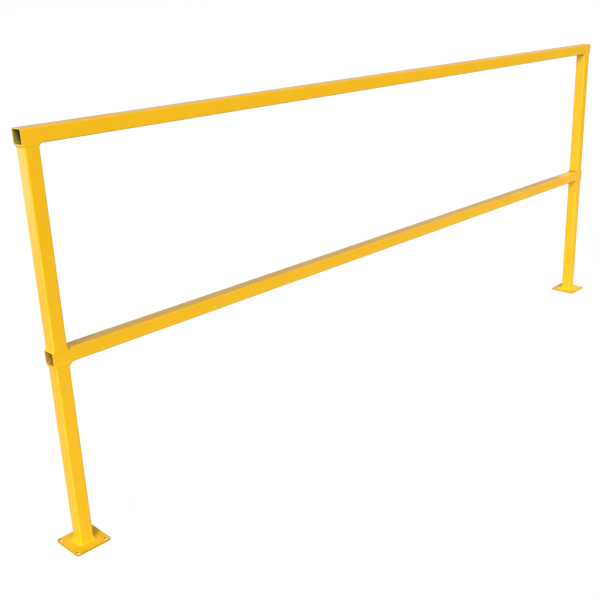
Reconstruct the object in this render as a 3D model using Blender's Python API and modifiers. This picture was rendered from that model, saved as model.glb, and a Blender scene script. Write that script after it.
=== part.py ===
# Industrial guard rail: two square steel tubes welded to a pair of posts on bolt-down plates.
# All sizes are in metres. X runs along the rails, the front is -Y and Z is up. The origin is
# on the floor, midway between the rail ends.

from math import cos, pi, radians, sin

import bmesh
import bpy

# Overall size
RAIL_LENGTH = 2.5908
OVERALL_HEIGHT = 1.0668
MID_RAIL_HEIGHT = 0.5207      # floor to the centre line of the mid rail

# Square tube, one section for rails and posts
TUBE_SIDE = 0.0381
TUBE_WALL = 0.0024
TUBE_CORNER = 0.004           # outer corner radius
RAIL_OVERHANG = 0.004         # rail end beyond the outer face of its post
RAIL_EDGE_BREAK = 0.0003      # filed edges of the open rail ends

# Base plates
PLATE_SIDE = 0.1016
PLATE_THICKNESS = 0.00635
PLATE_CORNER = 0.0075
PLATE_EDGE_BREAK = 0.0006
HOLE_DIAMETER = 0.0127
HOLE_INSET = 0.009525         # hole centre to each of the two nearest plate edges

# Weld beads: a leg runs along the post, and a toe out along the piece that the post meets
RAIL_WELD_LEG = 0.006
RAIL_WELD_TOE = 0.006
UNDER_MID_WELD_LEG = 0.009    # the long fillet in the corner below the mid rail
UNDER_MID_WELD_TOE = 0.010
FLUSH_WELD_REACH = 0.0035     # half the width of the bead across a flush seam
FLUSH_WELD_RISE = 0.0008      # how far that bead stands out of the two faces
BASE_WELD_LEG = 0.009
BASE_WELD_TOE = 0.009
WELD_FULLNESS = 1.2           # 1 makes a flat fillet, and 2 a round one

FIT_GAP = 0.0003              # between any two pieces that touch
CORNER_STEPS = 6
HOLE_STEPS = 28
BEAD_STEPS = 4

# Powder coat
SAFETY_YELLOW = (0.887, 0.497, 0.011)
COAT_ROUGHNESS = 0.38

# Worked out from the sizes above
HALF_TUBE = TUBE_SIDE / 2
POST_X = RAIL_LENGTH / 2 - RAIL_OVERHANG - HALF_TUBE
TOP_RAIL_HEIGHT = OVERALL_HEIGHT - HALF_TUBE
OUTER_WELD_TOE = min(RAIL_WELD_TOE, RAIL_OVERHANG - FIT_GAP)


def clear_scene():
    for old in list(bpy.data.objects):
        bpy.data.objects.remove(old)


def new_collection(name):
    collection = bpy.data.collections.new(name)
    bpy.context.scene.collection.children.link(collection)
    return collection


def powder_coat(name):
    material = bpy.data.materials.new(name + "_coat")
    material.use_nodes = True
    shader = material.node_tree.nodes["Principled BSDF"]
    shader.inputs["Base Color"].default_value = (*SAFETY_YELLOW, 1)
    shader.inputs["Roughness"].default_value = COAT_ROUGHNESS
    shader.inputs["Metallic"].default_value = 0
    material.diffuse_color = (*SAFETY_YELLOW, 1)
    return material


def add_part(name, data, stand, location, rotation=(0, 0, 0)):
    part = bpy.data.objects.new(name, data)
    parts.objects.link(part)
    part.parent = stand
    part.location = location
    part.rotation_euler = rotation
    data.materials.append(powder_coat(name))
    return part


def add_clearance(name, mesh, stand, location, rotation=(0, 0, 0)):
    cutter = bpy.data.objects.new(name + "_clearance", mesh)
    cutters.objects.link(cutter)
    cutter.parent = stand
    cutter.location = location
    cutter.rotation_euler = rotation
    cutter.hide_render = True
    cutter.display_type = "WIRE"
    return cutter


def rounded_rectangle(low_x, high_x, half_y, radius):
    """Points, counter-clockwise, of a rectangle with rounded corners."""
    centres = (
        (high_x - radius, half_y - radius),
        (low_x + radius, half_y - radius),
        (low_x + radius, radius - half_y),
        (high_x - radius, radius - half_y),
    )
    points = []
    for quarter, (centre_x, centre_y) in enumerate(centres):
        for step in range(CORNER_STEPS + 1):
            angle = (quarter + step / CORNER_STEPS) * pi / 2
            points.append((centre_x + radius * cos(angle), centre_y + radius * sin(angle)))
    return points


def rounded_square(side, radius):
    return rounded_rectangle(-side / 2, side / 2, side / 2, radius)


def circle(centre_x, centre_y, radius):
    angles = [2 * pi * step / HOLE_STEPS for step in range(HOLE_STEPS)]
    return [(centre_x + radius * cos(a), centre_y + radius * sin(a)) for a in angles]


def flat_curve(name, outlines, thickness):
    """A filled 2D curve: the first outline is the edge, and the others are holes in it."""
    curve = bpy.data.curves.new(name, "CURVE")
    curve.dimensions = "2D"
    curve.fill_mode = "BOTH"
    curve.extrude = thickness / 2
    for outline in outlines:
        spline = curve.splines.new("POLY")
        spline.points.add(len(outline) - 1)
        for point, (x, y) in zip(spline.points, outline):
            point.co = (x, y, 0, 1)
        spline.use_cyclic_u = True
    return curve


def tube_section():
    bore_side = TUBE_SIDE - 2 * TUBE_WALL
    bore_corner = max(TUBE_CORNER - TUBE_WALL, TUBE_WALL / 4)
    return [rounded_square(TUBE_SIDE, TUBE_CORNER), rounded_square(bore_side, bore_corner)]


def break_edges(part, width):
    """Joins the curve's caps to its sides, then chamfers the sharp edges between them."""
    part.modifiers.new("join_caps", "WELD").merge_threshold = 0.00001
    bevel = part.modifiers.new("edge_break", "BEVEL")
    bevel.width = width
    bevel.segments = 1
    bevel.limit_method = "ANGLE"
    bevel.angle_limit = radians(60)


def clearance_bar(name, side, corner, length):
    """A closed bar, larger all round than its piece by the gap that its neighbours keep."""
    outline = rounded_square(side + 2 * FIT_GAP, corner + FIT_GAP)
    source = bpy.data.objects.new(name, flat_curve(name, [outline], length + 2 * FIT_GAP))
    cutters.objects.link(source)
    graph = bpy.context.evaluated_depsgraph_get()
    mesh = bpy.data.meshes.new_from_object(source.evaluated_get(graph))
    bpy.data.objects.remove(source)
    shape = bmesh.new()
    shape.from_mesh(mesh)
    bmesh.ops.remove_doubles(shape, verts=shape.verts, dist=0.00001)
    bmesh.ops.recalc_face_normals(shape, faces=shape.faces)
    shape.to_mesh(mesh)
    shape.free()
    return mesh


def make_rail(name, height):
    """A square tube as long as the guard rail, open at both ends. Returns its clearance."""
    place = (0, 0, height)
    along_x = (0, pi / 2, 0)
    rail = add_part(name, flat_curve(name, tube_section(), RAIL_LENGTH), None, place, along_x)
    break_edges(rail, RAIL_EDGE_BREAK)
    bar = clearance_bar(name, TUBE_SIDE, TUBE_CORNER, RAIL_LENGTH)
    return add_clearance(name, bar, None, place, along_x)


def make_post(name, stand, floor, ceiling):
    """A tube that butts on the pieces below and above it. Returns its clearance."""
    length = ceiling - floor - 2 * FIT_GAP
    place = (0, 0, (floor + ceiling) / 2)
    add_part(name, flat_curve(name, tube_section(), length), stand, place)
    bar = clearance_bar(name, TUBE_SIDE, TUBE_CORNER, length)
    return add_clearance(name, bar, stand, place)


def make_plate(name, stand):
    """A plate with rounded corners and a bolt hole near each one. Returns its clearance."""
    reach = PLATE_SIDE / 2 - HOLE_INSET
    outlines = [rounded_square(PLATE_SIDE, PLATE_CORNER)]
    for x in (-reach, reach):
        for y in (-reach, reach):
            outlines.append(circle(x, y, HOLE_DIAMETER / 2))
    place = (0, 0, PLATE_THICKNESS / 2)
    plate = add_part(name, flat_curve(name, outlines, PLATE_THICKNESS), stand, place)
    break_edges(plate, PLATE_EDGE_BREAK)
    bar = clearance_bar(name, PLATE_SIDE, PLATE_CORNER, PLATE_THICKNESS)
    return add_clearance(name, bar, stand, place)


def fillet_swell(height, leg):
    """How full a fillet is at this height on the post: 1 in the seam, 0 at the leg's tip."""
    share = min(max(height, 0) / leg, 1)
    return (1 - share**WELD_FULLNESS) ** (1 / WELD_FULLNESS)


def flush_swell(height):
    """The same for the low bead across a flush seam, which runs out above and below it."""
    return 1 - min(abs(height) / FLUSH_WELD_REACH, 1) ** 2


def bead_heights(leg, root):
    """Heights of a bead's sections, from the tip of its leg down into its root."""
    on_leg = [leg * cos(pi / 2 * step / BEAD_STEPS) for step in range(BEAD_STEPS)]
    in_root = [-root * step / BEAD_STEPS for step in range(BEAD_STEPS + 1)]
    return on_leg + in_root


def rail_weld_outline(height, leg, inner_toe):
    """The bead's outline round the post: fillets on its two sides, and on its front and back
    the low bead that fills the seam between two flush tubes."""
    fillet = fillet_swell(height, leg)
    rise = FLUSH_WELD_RISE * flush_swell(height)
    return rounded_rectangle(
        -HALF_TUBE - OUTER_WELD_TOE * fillet,
        HALF_TUBE + inner_toe * fillet,
        HALF_TUBE + rise,
        TUBE_CORNER + rise,
    )


def base_weld_outline(height):
    toe = BASE_WELD_TOE * fillet_swell(height, BASE_WELD_LEG)
    return rounded_square(TUBE_SIDE + 2 * toe, TUBE_CORNER + toe)


def loft(name, sections):
    """A closed mesh through flat outlines, each given with its height."""
    shape = bmesh.new()
    rings = []
    for height, outline in sections:
        rings.append([shape.verts.new((x, y, height)) for x, y in outline])
    for upper, lower in zip(rings, rings[1:]):
        for i in range(len(upper)):
            shape.faces.new((upper[i - 1], lower[i - 1], lower[i], upper[i]))
    shape.faces.new(rings[0])
    shape.faces.new(rings[-1])
    bmesh.ops.recalc_face_normals(shape, faces=shape.faces)
    mesh = bpy.data.meshes.new(name)
    shape.to_mesh(mesh)
    shape.free()
    mesh.shade_smooth()
    return mesh


def seat_bead(bead, *clearances):
    """Cuts a lofted bead back to the faces of the pieces that it joins."""
    for clearance in clearances:
        cut = bead.modifiers.new(clearance.name, "BOOLEAN")
        cut.operation = "DIFFERENCE"
        cut.solver = "EXACT"
        cut.object = clearance


def make_rail_weld(name, stand, seam, upward, leg, inner_toe, post, rail):
    """The bead between the end of a post and a rail. Its leg runs up or down the post."""
    sections = []
    for height in bead_heights(leg, FLUSH_WELD_REACH):
        sections.append((upward * height, rail_weld_outline(height, leg, inner_toe)))
    bead = add_part(name, loft(name, sections), stand, (0, 0, seam))
    seat_bead(bead, post, rail)


def make_base_weld(name, stand, post, plate):
    """The fillet all round the foot of a post."""
    heights = bead_heights(BASE_WELD_LEG, 2 * FIT_GAP)
    sections = [(height, base_weld_outline(height)) for height in heights]
    bead = add_part(name, loft(name, sections), stand, (0, 0, PLATE_THICKNESS))
    seat_bead(bead, post, plate)


def make_stand(side, centre_x, turn, top_rail, mid_rail):
    """One end of the guard rail: base plate, the two lengths of post, and their welds. The
    stand's own -X side faces away from the other stand."""
    stand = bpy.data.objects.new(side + "_stand", None)
    parts.objects.link(stand)
    stand.location = (centre_x, 0, 0)
    stand.rotation_euler = (0, 0, turn)

    under_mid = MID_RAIL_HEIGHT - HALF_TUBE
    over_mid = MID_RAIL_HEIGHT + HALF_TUBE
    under_top = TOP_RAIL_HEIGHT - HALF_TUBE
    plate = make_plate(side + "_base_plate", stand)
    lower = make_post(side + "_lower_post", stand, PLATE_THICKNESS, under_mid)
    upper = make_post(side + "_upper_post", stand, over_mid, under_top)

    make_base_weld(side + "_base_weld", stand, lower, plate)
    long_fillet = (UNDER_MID_WELD_LEG, UNDER_MID_WELD_TOE)
    short_fillet = (RAIL_WELD_LEG, RAIL_WELD_TOE)
    for weld, seam, upward, fillet, post, rail in (
        ("under_mid_rail_weld", under_mid, -1, long_fillet, lower, mid_rail),
        ("over_mid_rail_weld", over_mid, 1, short_fillet, upper, mid_rail),
        ("top_rail_weld", under_top, -1, short_fillet, upper, top_rail),
    ):
        make_rail_weld(f"{side}_{weld}", stand, seam, upward, *fillet, post, rail)


clear_scene()
parts = new_collection("guard_rail")
cutters = new_collection("cutters")
top_rail_clearance = make_rail("top_rail", TOP_RAIL_HEIGHT)
mid_rail_clearance = make_rail("mid_rail", MID_RAIL_HEIGHT)
for side, centre_x, turn in (("left", -POST_X, 0), ("right", POST_X, pi)):
    make_stand(side, centre_x, turn, top_rail_clearance, mid_rail_clearance)
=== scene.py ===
from math import ceil, cos, pi, radians, sin

import bmesh
import bpy
from mathutils import Matrix, Quaternion, Vector, noise


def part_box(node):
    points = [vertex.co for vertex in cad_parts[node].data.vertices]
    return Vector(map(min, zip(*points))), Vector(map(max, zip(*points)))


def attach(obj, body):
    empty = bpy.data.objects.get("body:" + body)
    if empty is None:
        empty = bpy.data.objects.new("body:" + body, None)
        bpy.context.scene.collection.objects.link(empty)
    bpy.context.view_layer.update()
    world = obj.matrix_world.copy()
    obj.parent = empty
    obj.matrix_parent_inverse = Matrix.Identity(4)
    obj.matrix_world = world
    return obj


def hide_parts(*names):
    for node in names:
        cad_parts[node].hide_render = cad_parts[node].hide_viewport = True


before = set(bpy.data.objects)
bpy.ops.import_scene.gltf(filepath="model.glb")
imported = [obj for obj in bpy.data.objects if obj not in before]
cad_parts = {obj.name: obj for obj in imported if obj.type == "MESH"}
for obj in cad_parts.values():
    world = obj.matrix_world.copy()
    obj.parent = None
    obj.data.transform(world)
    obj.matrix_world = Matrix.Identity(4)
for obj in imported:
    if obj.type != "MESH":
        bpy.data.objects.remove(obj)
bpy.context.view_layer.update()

# Looks for a welded square tube guard rail in safety yellow powder coat.
# Metres throughout: X along the rails, the front is -Y, Z up, the floor at 0.

scene = bpy.context.scene
scene.view_settings.view_transform = "Standard"
tiny = 0.000001               # slack where places and directions are compared


# Small helpers

def hexColour(code):
    # sRGB hex to the linear values that shaders take
    linear = []
    for i in (1, 3, 5):
        value = int(code[i:i + 2], 16) / 255
        linear.append(value / 12.92 if value <= 0.04045 else ((value + 0.055) / 1.055) ** 2.4)
    return (*linear, 1)


def addNode(tree, kind, values=None, links=None, **settings):
    node = tree.nodes.new(kind)
    for key, value in settings.items():
        setattr(node, key, value)
    for socket, value in (values or {}).items():
        node.inputs[socket].default_value = value
    for socket, source in (links or {}).items():
        tree.links.new(source, node.inputs[socket])
    return node


def newMaterial(name):
    material = bpy.data.materials.new(name)
    material.use_nodes = True
    material.node_tree.nodes.clear()
    return material, material.node_tree


def newPiece(bm, name):
    mesh = bpy.data.meshes.new(name)
    bm.to_mesh(mesh)
    bm.free()
    piece = bpy.data.objects.new(name, mesh)
    scene.collection.objects.link(piece)
    return piece


def finishPiece(bm, name, materials, sharpAngle=35):
    # normals out, smooth rounds, and a weighted normal pass that keeps the flats flat
    bmesh.ops.recalc_face_normals(bm, faces=bm.faces)
    piece = newPiece(bm, name)
    piece.data.shade_smooth()
    piece.data.set_sharp_from_angle(angle=radians(sharpAngle))
    for material in materials:
        piece.data.materials.append(material)
    normals = piece.modifiers.new("flat faces stay flat", "WEIGHTED_NORMAL")
    normals.keep_sharp = True
    return piece


def dress(piece, nodeName):
    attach(piece, "root")
    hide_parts(nodeName)


def makeBox(bm, low, high, axis):
    # a box, and its four edges that run along the axis
    made = bmesh.ops.create_cube(bm, size=1)
    bmesh.ops.scale(bm, vec=high - low, verts=made["verts"])
    bmesh.ops.translate(bm, vec=(low + high) / 2, verts=made["verts"])
    corners = set(made["verts"])
    return [e for e in bm.edges if corners.issuperset(e.verts)
            and abs((e.verts[0].co - e.verts[1].co)[axis]) > tiny]


def roundOff(bm, geometry, size, steps, affect="EDGES"):
    bmesh.ops.bevel(bm, geom=geometry, offset=size, offset_type="OFFSET", affect=affect,
                    segments=steps, profile=0.5, material=-1)


# Camera: in front of the left end and above the top rail, looking down along the rails

cameraSet = {
    "place": (-2.2322, -1.7875, 1.3277),
    "aim": (-0.4433, 0, 0.4299),
    "roll": -2.3574,
    "lens": 52.559,
    "sensor": 36,
    "clip": (0.05, 500),      # nearest and furthest that it sees
}


def makeCamera():
    data = bpy.data.cameras.new("camera")
    data.lens = cameraSet["lens"]
    data.sensor_width = cameraSet["sensor"]
    data.clip_start, data.clip_end = cameraSet["clip"]
    camera = bpy.data.objects.new("camera", data)
    scene.collection.objects.link(camera)
    place = Vector(cameraSet["place"])
    look = Vector(cameraSet["aim"]) - place
    camera.location = place
    camera.rotation_mode = "QUATERNION"
    roll = Quaternion((0, 0, 1), radians(cameraSet["roll"]))
    camera.rotation_quaternion = look.to_track_quat("-Z", "Y") @ roll
    scene.camera = camera


# Powder coat

coatSet = {
    "yellow": "#F4BD18",
    "deepYellow": "#F0B510",
    "shine": 0.5,
    "cloudSize": 0.16,        # metres between lighter and deeper patches
    "peelSize": 0.004,        # orange peel, 2 to 4 mm from crest to crest
    "peelHeight": 0.00002,
    "waveSize": 0.07,         # the slow waviness of rolled tube under the coat
    "waveHeight": 0.00004,
    "roughLow": 0.28,
    "roughHigh": 0.37,
}

coatLooks = {
    # what differs from that: the flat plates glance less and are a lighter yellow, as painted
    # light, and the beads are rougher, with the base welds a deeper yellow, as painted shade
    "rail polyester powder coat": {},
    "post polyester powder coat": {},
    "plate polyester powder coat": {"yellow": "#FAC61C", "deepYellow": "#F6BE14", "shine": 0.2},
    "weld polyester powder coat": {"peelHeight": 0.000032, "shine": 0.35},
    "base weld polyester powder coat": {"yellow": "#ECB616", "deepYellow": "#E8AE10",
                                        "peelHeight": 0.000032, "shine": 0.35},
    "weld powder coat with painted corner shade": {"peelHeight": 0.000032, "shine": 0.35},
}

paintedShadeLooks = {
    # painted shade: its colour, how much of it shows, and where it starts and is full: metres
    # outwards from the inner faces of the posts or from the edges of the plates
    "corner": ("#A07C12", 0.8, 0.001, -0.0015),
    "edge": ("#B4900E", 0.75, -0.0012, -0.0002),
}


# thin, when given, paints shade onto some faces
def powderCoat(name, thin=None):
    # Polyester powder coat, sprayed and baked: an even, satin plastic skin with a fine orange
    # peel that only shows where light glances off it.
    look = {**coatSet, **coatLooks[name]}
    material, tree = newMaterial(name)
    place = addNode(tree, "ShaderNodeTexCoord").outputs["Object"]
    cloud = addNode(tree, "ShaderNodeTexNoise",
                    {"Scale": 1 / look["cloudSize"], "Detail": 3, "Roughness": 0.5},
                    {"Vector": place})
    colour = addNode(tree, "ShaderNodeMix",
                     {"A": hexColour(look["yellow"]), "B": hexColour(look["deepYellow"])},
                     {"Factor": cloud.outputs["Fac"]}, data_type="RGBA")
    if thin:
        # painted shade: these faces are darkened towards the given colour
        shade, mask = thin(tree, place)
        colour = addNode(tree, "ShaderNodeMix", {"B": hexColour(shade)},
                         {"Factor": mask, "A": colour.outputs["Result"]}, data_type="RGBA")
    fine = addNode(tree, "ShaderNodeTexNoise",
                   {"Scale": 1 / look["peelSize"], "Detail": 1, "Roughness": 0.4},
                   {"Vector": place})
    rough = addNode(tree, "ShaderNodeMapRange",
                    {"From Min": 0.3, "From Max": 0.7, "To Min": look["roughLow"],
                     "To Max": look["roughHigh"]}, {"Value": cloud.outputs["Fac"]})
    wave = addNode(tree, "ShaderNodeTexNoise", {"Scale": 1 / look["waveSize"], "Detail": 2},
                   {"Vector": place})
    waveBump = addNode(tree, "ShaderNodeBump",
                       {"Strength": 1, "Distance": look["waveHeight"]},
                       {"Height": wave.outputs["Fac"]})
    peelBump = addNode(tree, "ShaderNodeBump",
                       {"Strength": 1, "Distance": look["peelHeight"]},
                       {"Height": fine.outputs["Fac"], "Normal": waveBump.outputs["Normal"]})
    shader = addNode(tree, "ShaderNodeBsdfPrincipled",
                     {"IOR": 1.43, "Metallic": 0, "Specular IOR Level": look["shine"]},
                     {"Base Color": colour.outputs["Result"], "Roughness": rough.outputs["Result"],
                      "Normal": peelBump.outputs["Normal"]})
    addNode(tree, "ShaderNodeOutputMaterial", links={"Surface": shader.outputs["BSDF"]})
    return material


def paintedCornerShade(tree, place):
    # painted shade on the fillets in the inside corners between posts and rails
    shade, cover, start, full = paintedShadeLooks["corner"]
    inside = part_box("right_upper_post")[0].x
    split = addNode(tree, "ShaderNodeSeparateXYZ", links={"Vector": place})
    side = addNode(tree, "ShaderNodeMath", links={0: split.outputs["X"]}, operation="ABSOLUTE")
    mask = addNode(tree, "ShaderNodeMapRange",
                   {"From Min": inside + start, "From Max": inside + full, "To Max": cover},
                   {"Value": side.outputs["Value"]})
    return shade, mask.outputs["Result"]


def paintedEdgeShade(tree, place):
    # painted shade on the cut edges around the plates, but not the walls of the holes: how far a
    # place lies from the line through the centres of the plate's rounded corners
    shade, cover, start, full = paintedShadeLooks["edge"]
    low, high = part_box("right_base_plate")
    corner = plateSet["corner"]
    flat = high.y - corner
    steps = (("ABSOLUTE", (0, 0, 0)), ("SUBTRACT", ((low.x + high.x) / 2, 0, 0)),
             ("ABSOLUTE", (0, 0, 0)), ("SUBTRACT", (flat, flat, 1)), ("MAXIMUM", (0, 0, 0)))
    for operation, value in steps:
        place = addNode(tree, "ShaderNodeVectorMath", {1: value}, {0: place},
                        operation=operation).outputs["Vector"]
    out = addNode(tree, "ShaderNodeVectorMath", links={0: place}, operation="LENGTH")
    mask = addNode(tree, "ShaderNodeMapRange",
                   {"From Min": corner + start, "From Max": corner + full, "To Max": cover},
                   {"Value": out.outputs["Value"]})
    return shade, mask.outputs["Result"]


# Bores of the tubes

boreSet = {
    "bright": 0.002,          # metres in from the open end where the powder lies thick
    "thin": 0.017,            # where the last of it ends on the upper walls
    "deep": 0.12,             # and where it ends on the floor of the bore
    "wallTop": 0.6,           # heights from the middle of the bore, as shares of the way to the
    "floorTop": -0.6,         # tube's outside: where dust starts on the walls and on the floor,
    "floor": -0.85,           # and where both have all of it
    "dustAndShadeByHeight": 0.8,           # how much lighter the lower walls are: dust low down, painted shade higher up
    "speckle": 0.5,           # how patchy it is
    "bare": 0.4,              # how much of the steel it leaves bare
    "grainSize": 0.011,       # blotches of scale and dust
    "grainHeight": 0.00005,
}

boreLooks = {
    # the top rail's bore has darker colours than the mid rail's
    "top_rail": {"coat": "#C29C33", "dust": "#957F2F", "scale": "#362B0B"},
    "mid_rail": {"coat": "#E2B44B", "dust": "#B88F35", "scale": "#8F6B18"},
}


def boreSteel(name, railName):
    # Mild steel as it left the tube mill, brown with oil and scale. Yellow powder blew in at the
    # open ends and lies thick by the rim; further in, the lower walls are lighter with dust, and
    # the upper walls and the deep end are darker with painted shade.
    look = boreLooks[railName]
    low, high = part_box(railName)
    centre, reach = (low.z + high.z) / 2, (high.z - low.z) / 2
    material, tree = newMaterial(name)
    place = addNode(tree, "ShaderNodeTexCoord").outputs["Object"]
    split = addNode(tree, "ShaderNodeSeparateXYZ", links={"Vector": place})
    side = addNode(tree, "ShaderNodeMath", links={0: split.outputs["X"]}, operation="ABSOLUTE")
    grain = addNode(tree, "ShaderNodeTexNoise",
                    {"Scale": 1 / boreSet["grainSize"], "Detail": 4}, {"Vector": place})

    along, upright = side.outputs["Value"], split.outputs["Z"]
    bright, thin, deep = [high.x - boreSet[part] for part in ("bright", "thin", "deep")]
    wallTop, floorTop, lowest = [centre + reach * boreSet[part]
                                 for part in ("wallTop", "floorTop", "floor")]
    masks = []
    for source, start, full in ((along, thin, bright), (along, deep, thin),
                                (upright, wallTop, lowest), (upright, floorTop, lowest)):
        # 0 at its start and 1 where it is full
        mask = addNode(tree, "ShaderNodeMapRange", {"From Min": start, "From Max": full},
                       {"Value": source})
        masks.append(mask.outputs["Result"])
    rim, tail, walls, boreFloor = masks

    # lighter dust on the lower walls and by the rim, and the dark scale higher up and deeper in,
    # which also stands for painted shade
    dustAndShadeByHeight = addNode(tree, "ShaderNodeMath", links={0: walls, 1: tail}, operation="MULTIPLY")
    blown = addNode(tree, "ShaderNodeMath", {2: -boreSet["bare"]}, {0: rim, 1: rim},
                    operation="MULTIPLY_ADD")
    dustAndShade = addNode(tree, "ShaderNodeMath", {1: boreSet["dustAndShadeByHeight"]},
                     {0: dustAndShadeByHeight.outputs["Value"], 2: blown.outputs["Value"]},
                     operation="MULTIPLY_ADD")
    dustAndShade = addNode(tree, "ShaderNodeMath", {1: boreSet["speckle"]},
                     {0: grain.outputs["Fac"], 2: dustAndShade.outputs["Value"]},
                     operation="MULTIPLY_ADD")
    dust = addNode(tree, "ShaderNodeMix",
                   {"A": hexColour(look["scale"]), "B": hexColour(look["dust"])},
                   {"Factor": dustAndShade.outputs["Value"]}, data_type="RGBA")
    thick = addNode(tree, "ShaderNodeMath", links={0: boreFloor, 1: rim}, operation="MULTIPLY")
    colour = addNode(tree, "ShaderNodeMix", {"B": hexColour(look["coat"])},
                     {"Factor": thick.outputs["Value"], "A": dust.outputs["Result"]},
                     data_type="RGBA")
    bump = addNode(tree, "ShaderNodeBump", {"Strength": 1, "Distance": boreSet["grainHeight"]},
                   {"Height": grain.outputs["Fac"]})
    shader = addNode(tree, "ShaderNodeBsdfPrincipled",
                     {"IOR": 1.5, "Metallic": 0, "Roughness": 0.6},
                     {"Base Color": colour.outputs["Result"], "Normal": bump.outputs["Normal"]})
    addNode(tree, "ShaderNodeOutputMaterial", links={"Surface": shader.outputs["BSDF"]})
    return material


# Square tube

tubeSet = {
    "wall": 0.0024,
    "corner": 0.004,          # outer corner radius
    "cornerSteps": 8,
    "endBreak": 0.0005,       # saw burr filed off the open ends
    "rimAngle": 80,           # only the rims of the ends turn as sharply as this
}


def roundBar(bm, low, high, axis, radius):
    # a box with its four long edges rounded; the end faces are taken off
    before = set(bm.faces)
    roundOff(bm, makeBox(bm, low, high, axis), radius, tubeSet["cornerSteps"])
    faces = [f for f in bm.faces if f not in before]
    ends = [f for f in faces if abs(f.normal[axis]) > 1 - tiny]
    sides = [f for f in faces if f not in ends]
    bmesh.ops.delete(bm, geom=ends, context="FACES_ONLY")
    return sides


def makeTube(nodeName, axis, coat, bore, openEnds):
    low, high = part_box(nodeName)
    wall = Vector([0 if i == axis else tubeSet["wall"] for i in range(3)])
    bm = bmesh.new()
    roundBar(bm, low, high, axis, tubeSet["corner"])
    inner = roundBar(bm, low + wall, high - wall, axis, tubeSet["corner"] - tubeSet["wall"])
    for face in inner:
        face.material_index = 1
    bmesh.ops.reverse_faces(bm, faces=inner)
    for end in (low, high):
        rims = [e for e in bm.edges
                if e.is_boundary and abs(e.verts[0].co[axis] - end[axis]) < tiny]
        bmesh.ops.bridge_loops(bm, edges=rims)
    if openEnds:
        rims = [e for e in bm.edges if abs(e.calc_face_angle(0)) > radians(tubeSet["rimAngle"])]
        roundOff(bm, rims, tubeSet["endBreak"], 3)
    dress(finishPiece(bm, nodeName + "_tube", [coat, bore]), nodeName)


# Base plate

plateSet = {
    "corner": 0.0075,
    "cornerSteps": 10,
    "holeWidth": 0.0127,
    "holeInset": 0.009525,    # hole centre to each of the two nearest edges
    "holeSides": 48,
    "drillDepth": 0.03,       # enough to go right through
    "edge": 0.0007,           # the coat rounds the cut edges
    "rimAngle": 60,           # only the cut edges turn as sharply as this
}


def makePlate(nodeName, coat):
    low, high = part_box(nodeName)
    centre = (low + high) / 2
    bm = bmesh.new()
    roundOff(bm, makeBox(bm, low, high, 2), plateSet["corner"], plateSet["cornerSteps"])
    blank = newPiece(bm, "blank")

    bm = bmesh.new()
    reach = (high.x - low.x) / 2 - plateSet["holeInset"]
    radius = plateSet["holeWidth"] / 2
    for x in (-reach, reach):
        for y in (-reach, reach):
            bmesh.ops.create_cone(bm, cap_ends=True, segments=plateSet["holeSides"],
                                  radius1=radius, radius2=radius, depth=plateSet["drillDepth"],
                                  matrix=Matrix.Translation(centre + Vector((x, y, 0))))
    bits = newPiece(bm, "bits")

    cut = blank.modifiers.new("drill", "BOOLEAN")
    cut.operation = "DIFFERENCE"
    cut.solver = "EXACT"
    cut.object = bits
    drilled = bpy.data.meshes.new_from_object(
        blank.evaluated_get(bpy.context.evaluated_depsgraph_get()))
    for temporary in (blank, bits):
        bpy.data.objects.remove(temporary)

    bm = bmesh.new()
    bm.from_mesh(drilled)
    bmesh.ops.remove_doubles(bm, verts=bm.verts, dist=tiny)
    rims = [e for e in bm.edges if abs(e.calc_face_angle(0)) > radians(plateSet["rimAngle"])]
    roundOff(bm, rims, plateSet["edge"], 3)
    dress(finishPiece(bm, nodeName + "_drilled", [coat]), nodeName)


# Weld beads

weldSet = {
    "gap": 0.0003,            # the post ends this far from the seam
    "step": 0.00045,          # spacing of the mesh along the seam
    "cornerSteps": 10,
    "rows": 12,               # across the face of the bead
    "ripplePitch": 0.0026,    # one ripple of the torch
    "ripple": 0.00002,
    "rippleBow": 0.45,        # how far its middle runs ahead of its ends, in ripples
    "rippleFade": 0.6,        # the ripples die away towards the toes
    "capRipple": 0.6,         # their height on the low beads, against the fillets
    "wobble": 0.0004,         # how far the toes wander
    "capWobble": 0.048,       # and the edges of the low beads, as a share of the width
    "wobbles": 12,            # how often they do it on the way round
    "toeSeed": 1000,          # these two set each side and each bead apart from the others
    "seamSeed": 10,
    "filletSpan": 1.5,        # above 1 the fillets reach further round the post's corners
    "bury": 0.0012,           # depth of the hidden side inside the tube wall
    "tuck": 0.0006,           # and below the seam
    "hiddenShare": 0.8,       # how far it reaches towards the toes of a fillet
    "hiddenCapShare": 0.9,    # and of a low bead
    "sink": 0.0002,           # the toes run out this far under the faces they meet
    "capHalf": 0.0035,        # half the width of the low bead across a flush seam
    "capRise": 0.0004,
}

weldRuns = {
    # node: (post above or below the seam, leg on the post, outer toe, inner toe, fullness:
    # 1 is a flat fillet, 2 a round one and less than 1 a hollow one)
    "base_weld": (1, 0.0088, 0.0088, 0.0088, 0.95),
    "under_mid_rail_weld": (-1, 0.0088, 0.0037, 0.0098, 1.0),
    "over_mid_rail_weld": (1, 0.0058, 0.0037, 0.0058, 1.05),
    "top_rail_weld": (-1, 0.0058, 0.0037, 0.0058, 1.05),
}


def seamRing(bm, centre, half):
    # the outline of the tube as one closed run of evenly spaced points
    corner = tubeSet["corner"]
    made = bmesh.ops.create_grid(bm, x_segments=1, y_segments=1, size=half)
    bmesh.ops.translate(bm, vec=centre, verts=made["verts"])
    roundOff(bm, made["verts"], corner, weldSet["cornerSteps"], "VERTICES")
    bmesh.ops.delete(bm, geom=list(bm.faces), context="FACES_ONLY")
    for straight in [e for e in bm.edges if e.calc_length() > corner]:
        bmesh.ops.subdivide_edges(bm, edges=[straight],
                                  cuts=ceil(straight.calc_length() / weldSet["step"]))
    return list(bm.edges)


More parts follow.
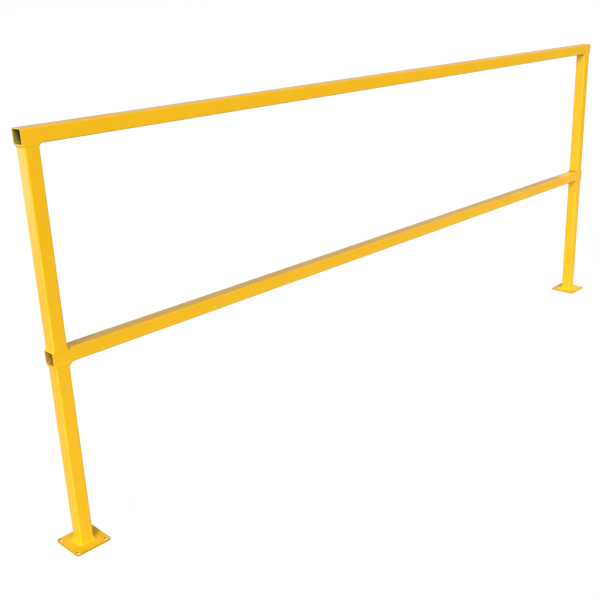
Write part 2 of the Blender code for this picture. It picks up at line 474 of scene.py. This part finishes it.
def walkRing(ring):
    # the ring's vertices in order, each with its distance along the seam
    start = ring[0].verts[0]
    order, distance = [start], {start: 0.0}
    edge = ring[0]
    while True:
        following = edge.other_vert(order[-1])
        if following is start:
            return order, distance
        distance[following] = distance[order[-1]] + edge.calc_length()
        order.append(following)
        edge = [e for e in following.link_edges if e is not edge][0]


def makeWeld(side, weldName, postName, coat):
    # A closed collar: a fillet on the two sides of the post where the rail or plate runs on, and
    # a low bead over the flush seams at the front and back. Around the base it is all fillet.
    nodeName = f"{side}_{weldName}"
    upward, leg, outerToe, innerToe, fullness = weldRuns[weldName]
    postLow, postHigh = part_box(postName)
    half = (postHigh.x - postLow.x) / 2
    seam = (postLow.z if upward > 0 else postHigh.z) - upward * weldSet["gap"]
    centre = Vector(((postLow.x + postHigh.x) / 2, 0, seam))
    outward = -1 if side == "left" else 1
    isBase = weldName == "base_weld"
    corner = tubeSet["corner"]
    core = half - corner
    rows = weldSet["rows"]
    lastRow = rows + 3        # the hidden side has the three rows that hiddenPoint gives

    bm = bmesh.new()
    ring = seamRing(bm, centre, half)
    order, distance = walkRing(ring)
    total = distance[order[-1]] + weldSet["step"]
    turns = round(total / weldSet["ripplePitch"])

    # for each point of the seam: the centre that its section turns about, where that faces, how
    # much of the section is fillet, and its share of the way round
    facts = []
    for vert in order:
        flat = Vector((vert.co.x - centre.x, vert.co.y))
        heart = Vector((max(-core, min(core, flat.x)), max(-core, min(core, flat.y))))
        facing = (flat - heart).normalized()
        fillet = 1 if isBase else min(1, facing.x ** 2 * weldSet["filletSpan"])
        facts.append((heart, facing, fillet, distance[vert] / total))

    def hiddenPoint(row, toe):
        # one point of the hidden side, for a fillet and for a low bead
        bury, tuck, capHalf = weldSet["bury"], weldSet["tuck"], weldSet["capHalf"]
        share, capShare = weldSet["hiddenShare"], weldSet["hiddenCapShare"]
        filletPoints = ((toe * share, -tuck), (-bury, -tuck), (-bury, leg * share))
        capPoints = ((-bury / 2, -capHalf * capShare), (-bury, 0), (-bury, capHalf * capShare))
        return filletPoints[row - rows - 1], capPoints[row - rows - 1]

    def facePoint(row, toe, along):
        # one point of the face, for a fillet and for a low bead
        t = row / rows
        sway = noise.noise((along * weldSet["wobbles"], toe * weldSet["toeSeed"],
                            seam * weldSet["seamSeed"]))
        wander = sway * weldSet["wobble"]
        ripple = sin(pi * (along * turns + weldSet["rippleBow"] * sin(pi * t))) ** 2
        ripple *= weldSet["ripple"] * sin(pi * t) ** weldSet["rippleFade"]
        out = (toe + wander) * sin(t * pi / 2) ** (2 / fullness)
        up = (leg + wander) * cos(t * pi / 2) ** (2 / fullness)
        swell = 1 + ripple / max((out * out + up * up) ** 0.5, tiny)
        out, up = out * swell, up * swell
        capOut = weldSet["capRise"] * sin(pi * t) + ripple * weldSet["capRipple"]
        capUp = weldSet["capHalf"] * cos(pi * t) * (1 + sway * weldSet["capWobble"])
        sink = weldSet["sink"]
        if row == 0:
            out, capOut = out - sink, -sink
        elif row == rows:
            up, capOut = up - sink, -sink
        return (out, up), (capOut, capUp)

    def placeRing(verts, row):
        for vert, (heart, facing, fillet, along) in zip(verts, facts):
            toe = outerToe if facing.x * outward > 0 else innerToe
            if row > rows:
                filletPoint, capPoint = hiddenPoint(row, toe)
            else:
                filletPoint, capPoint = facePoint(row, toe, along)
            out, up = [f * fillet + c * (1 - fillet) for f, c in zip(filletPoint, capPoint)]
            spot = heart + facing * (corner + out)
            if not isBase:
                # the fillets end flush with the front and back faces, and their toes follow
                # the rounded edges of the rail
                beyond = min(corner, max(0, abs(spot.y) - core))
                reach = half + capPoint[0]
                spot.y = max(-reach, min(reach, spot.y))
                follow = 0 if row == lastRow else min(1, row / rows)
                up -= (corner - (corner ** 2 - beyond ** 2) ** 0.5) * fillet * follow
            vert.co = (centre.x + spot.x, spot.y, seam + upward * up)

    current = ring
    verts = order
    placeRing(verts, 0)
    for row in range(1, lastRow + 1):
        made = bmesh.ops.extrude_edge_only(bm, edges=current)["geom"]
        current = [g for g in made if isinstance(g, bmesh.types.BMEdge)]
        fresh = {g for g in made if isinstance(g, bmesh.types.BMVert)}
        verts = [next(e.other_vert(v) for e in v.link_edges if e.other_vert(v) in fresh)
                 for v in verts]
        placeRing(verts, row)
    rims = [e for e in bm.edges if e.is_boundary]
    bmesh.ops.bridge_loops(bm, edges=rims)
    dress(finishPiece(bm, nodeName + "_bead", [coat], sharpAngle=60), nodeName)


# Studio: a white floor that keeps the shadows, two key lights from the left end, a low and a
# soft fill from the front, and weak fills from behind and from the right end

studioSet = {
    "floorSize": 240,
    "floorDrop": 0.0004,      # keeps the floor clear of the undersides of the plates
    "floorColour": "#989898",
    "floorGlow": 0.88,        # only the camera sees it, and the lit paper adds the rest
    "mirrorGlow": (0.12, 0.75),   # what reflections see: far in front, and by the rail
    "mirrorRange": (-2.6, -1.2),  # and the two places in front where that starts and ends
    "dome": 0.15,             # light from all around
    "sunDistance": 4,         # a sun lights the same from anywhere, and stands clear of the rail
}

sunSet = {
    # name: (strength, degrees from the front towards the left end, height, softness, and
    # whether it shows in reflections: the last two would glare on the tops of the tubes)
    "high key": (1.3, 75, 20, 12, True),
    "low key": (1.1, 75, 8, 10, True),
    "low fill": (1.2, 22, 5, 9, True),
    "soft fill": (1.3, 22, 24, 60, True),
    "back fill": (1.8, 205, 1.5, 4, False),
    "end fill": (0.5, 270, 1.5, 4, False),
}

lampSet = {
    # name: (place, aim, power in watts, spot angle or card width and height)
    "left snoot": ((-1.66, -0.273, 2.7), (-1.272, 0, 0), 94, 4.2),
    "right snoot": ((0.884, -0.273, 2.7), (1.272, 0, 0), 142, 4.2),
    "back card": ((-2.75, 2.8, 0.42), (-1.29, 0, 0.9), 9, (1.6, 0.8)),
}

snootSet = {
    "blend": 0.6,             # how soft the rim of the spot is
    "size": 0.05,             # radius of its mouth
}


def makeFloor():
    bm = bmesh.new()
    bmesh.ops.create_grid(bm, x_segments=1, y_segments=1, size=studioSet["floorSize"] / 2)
    floor = newPiece(bm, "floor")
    floor.location.z = -studioSet["floorDrop"]

    # Matt white background paper: it has no sheen, so all that shows on it is shadow.
    material, tree = newMaterial("matt white paper floor")
    path = addNode(tree, "ShaderNodeLightPath")
    place = addNode(tree, "ShaderNodeTexCoord").outputs["Object"]
    split = addNode(tree, "ShaderNodeSeparateXYZ", links={"Vector": place})
    paper = addNode(tree, "ShaderNodeBsdfDiffuse", {"Color": hexColour(studioSet["floorColour"])})
    seen = addNode(tree, "ShaderNodeMath", {1: studioSet["floorGlow"]},
                   {0: path.outputs["Is Camera Ray"]}, operation="MULTIPLY")
    glow = addNode(tree, "ShaderNodeEmission", {"Color": (1, 1, 1, 1)},
                   {"Strength": seen.outputs["Value"]})
    lit = addNode(tree, "ShaderNodeAddShader",
                  links={0: paper.outputs["BSDF"], 1: glow.outputs["Emission"]})
    farGlow, nearGlow = studioSet["mirrorGlow"]
    farPlace, nearPlace = studioSet["mirrorRange"]
    mirrored = addNode(tree, "ShaderNodeMapRange",
                       {"From Min": farPlace, "From Max": nearPlace, "To Min": farGlow,
                        "To Max": nearGlow}, {"Value": split.outputs["Y"]})
    mirror = addNode(tree, "ShaderNodeEmission", {"Color": (1, 1, 1, 1)},
                     {"Strength": mirrored.outputs["Result"]})
    both = addNode(tree, "ShaderNodeMixShader",
                   links={0: path.outputs["Is Glossy Ray"], 1: lit.outputs["Shader"],
                          2: mirror.outputs["Emission"]})
    addNode(tree, "ShaderNodeOutputMaterial", links={"Surface": both.outputs["Shader"]})
    floor.data.materials.append(material)


def hangLamp(data, back, place):
    # back is the direction from what the lamp lights to the lamp
    lamp = bpy.data.objects.new(data.name, data)
    lamp.location = place
    lamp.rotation_mode = "QUATERNION"
    lamp.rotation_quaternion = back.to_track_quat("Z", "Y")
    lamp.visible_camera = False
    scene.collection.objects.link(lamp)
    return lamp


def makeLamps():
    for name, (strength, turn, height, softness, mirrored) in sunSet.items():
        data = bpy.data.lights.new(name, "SUN")
        data.energy = strength
        data.angle = radians(softness)
        turn, height = radians(turn), radians(height)
        back = Vector((-sin(turn) * cos(height), -cos(turn) * cos(height), sin(height)))
        lamp = hangLamp(data, back, back * studioSet["sunDistance"])
        lamp.visible_glossy = mirrored

    for name, (place, aim, power, shape) in lampSet.items():
        data = bpy.data.lights.new(name, "AREA" if isinstance(shape, tuple) else "SPOT")
        data.energy = power
        if isinstance(shape, tuple):
            data.shape = "RECTANGLE"
            data.size, data.size_y = shape
        else:
            data.spot_size = radians(shape)
            data.spot_blend = snootSet["blend"]
            data.shadow_soft_size = snootSet["size"]
        hangLamp(data, Vector(place) - Vector(aim), place)


def makeWorld():
    # white to the camera and in reflections, and a dim dome for everything else
    world = bpy.data.worlds.new("white studio")
    world.use_nodes = True
    tree = world.node_tree
    tree.nodes.clear()
    path = addNode(tree, "ShaderNodeLightPath")
    seen = path.outputs["Is Camera Ray"]
    for ray in ("Is Glossy Ray", "Is Transmission Ray"):
        seen = addNode(tree, "ShaderNodeMath", links={0: seen, 1: path.outputs[ray]},
                       operation="MAXIMUM").outputs["Value"]
    strength = addNode(tree, "ShaderNodeMapRange", {"To Min": studioSet["dome"], "To Max": 1},
                       {"Value": seen})
    background = addNode(tree, "ShaderNodeBackground", {"Color": (1, 1, 1, 1)},
                         {"Strength": strength.outputs["Result"]})
    addNode(tree, "ShaderNodeOutputWorld", links={"Surface": background.outputs["Background"]})
    scene.world = world


makeCamera()
print("camera made")

railCoat = powderCoat("rail polyester powder coat")
postCoat = powderCoat("post polyester powder coat")
# the plates' cut edges carry painted shade
plateCoat = powderCoat("plate polyester powder coat", paintedEdgeShade)
weldCoat = powderCoat("weld polyester powder coat")
baseCoat = powderCoat("base weld polyester powder coat")
# the fillets over the mid rail carry painted shade in the inside corners
weldCoatWithCornerShade = powderCoat("weld powder coat with painted corner shade", paintedCornerShade)
bores = {rail: boreSteel(f"{rail} bore, mill scale and powder dust", rail) for rail in boreLooks}
print("materials made")

for rail in ("top_rail", "mid_rail"):
    makeTube(rail, 0, railCoat, bores[rail], True)
for side in ("left", "right"):
    for post in ("upper_post", "lower_post"):
        # the posts are closed at both ends, so nobody sees which bore they have
        makeTube(f"{side}_{post}", 2, postCoat, bores["top_rail"], False)
print("tubes made")

for side in ("left", "right"):
    makePlate(f"{side}_base_plate", plateCoat)
print("plates made")

for side in ("left", "right"):
    for weldName in weldRuns:
        post = "lower_post" if weldName in ("base_weld", "under_mid_rail_weld") else "upper_post"
        coat = {"base_weld": baseCoat, "over_mid_rail_weld": weldCoatWithCornerShade}.get(weldName, weldCoat)
        makeWeld(side, weldName, f"{side}_{post}", coat)
print("welds made")

makeFloor()
makeLamps()
makeWorld()
print("studio made")
